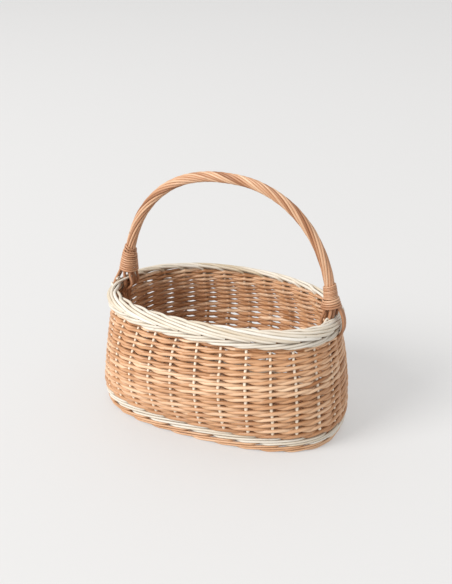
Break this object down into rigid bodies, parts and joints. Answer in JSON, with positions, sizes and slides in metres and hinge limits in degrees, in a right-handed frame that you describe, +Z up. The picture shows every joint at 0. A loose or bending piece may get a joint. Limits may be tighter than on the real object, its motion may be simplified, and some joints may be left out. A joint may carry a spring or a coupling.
{
  "type": "woven market basket",
  "caption": "Oval willow market basket with bulging twined sides, white peeled bands, a rolled border and a fixed roped bow handle.",
  "frame": {"origin": "middle of the foot, on the surface the basket stands on", "axes": "+Z up, X along the oval in the plane of the handle, Y across the oval, front towards -Y"},
  "size_m": [0.3776, 0.2565, 0.3671],
  "materials": {
    "buff_willow": "buff (boiled) willow rods, natural satin",
    "white_willow": "white peeled willow rods, natural satin",
    "handle_willow": "buff willow roping rods, satin"
  },
  "bodies": {
    "root": {"foot_border_outer": "buff_willow", "foot_border_inner": "buff_willow", "lower_white_band_outer": "white_willow", "lower_white_band_inner": "white_willow", "side_weave_1_outer": "buff_willow", "side_weave_1_inner": "buff_willow", "side_weave_2_outer": "buff_willow", "side_weave_2_inner": "buff_willow", "side_weave_3_outer": "buff_willow", "side_weave_3_inner": "buff_willow", "side_weave_4_outer": "buff_willow", "side_weave_4_inner": "buff_willow", "upper_white_wale_outer": "white_willow", "upper_white_wale_inner": "white_willow", "rolled_border": "white_willow", "base_weave": "buff_willow", "base_slath": "buff_willow", "side_stake_01": "white_willow", "side_stake_02": "white_willow", "side_stake_03": "white_willow", "side_stake_04": "white_willow", "side_stake_05": "white_willow", "side_stake_06": "white_willow", "side_stake_07": "white_willow", "side_stake_08": "white_willow", "side_stake_09": "white_willow", "side_stake_10": "white_willow", "side_stake_11": "white_willow", "side_stake_12": "white_willow", "side_stake_13": "white_willow", "side_stake_14": "white_willow", "side_stake_15": "white_willow", "side_stake_16": "white_willow", "side_stake_17": "white_willow", "side_stake_18": "white_willow", "side_stake_19": "white_willow", "side_stake_20": "white_willow", "side_stake_21": "white_willow", "side_stake_22": "white_willow", "side_stake_23": "white_willow", "side_stake_24": "white_willow", "side_stake_25": "white_willow", "side_stake_26": "white_willow", "side_stake_27": "white_willow", "side_stake_28": "white_willow", "handle_core": "handle_willow", "handle_strand_1": "handle_willow", "handle_strand_2": "handle_willow", "handle_strand_3": "handle_willow", "handle_strand_4": "handle_willow", "handle_strand_5": "handle_willow", "handle_strand_6": "handle_willow", "handle_strand_7": "handle_willow", "handle_strand_8": "handle_willow", "handle_strand_9": "handle_willow", "handle_strand_10": "handle_willow", "handle_collar_left": "handle_willow", "handle_collar_right": "handle_willow", "handle_loop_left": "handle_willow", "handle_loop_right": "handle_willow"}
  },
  "joints": []
}
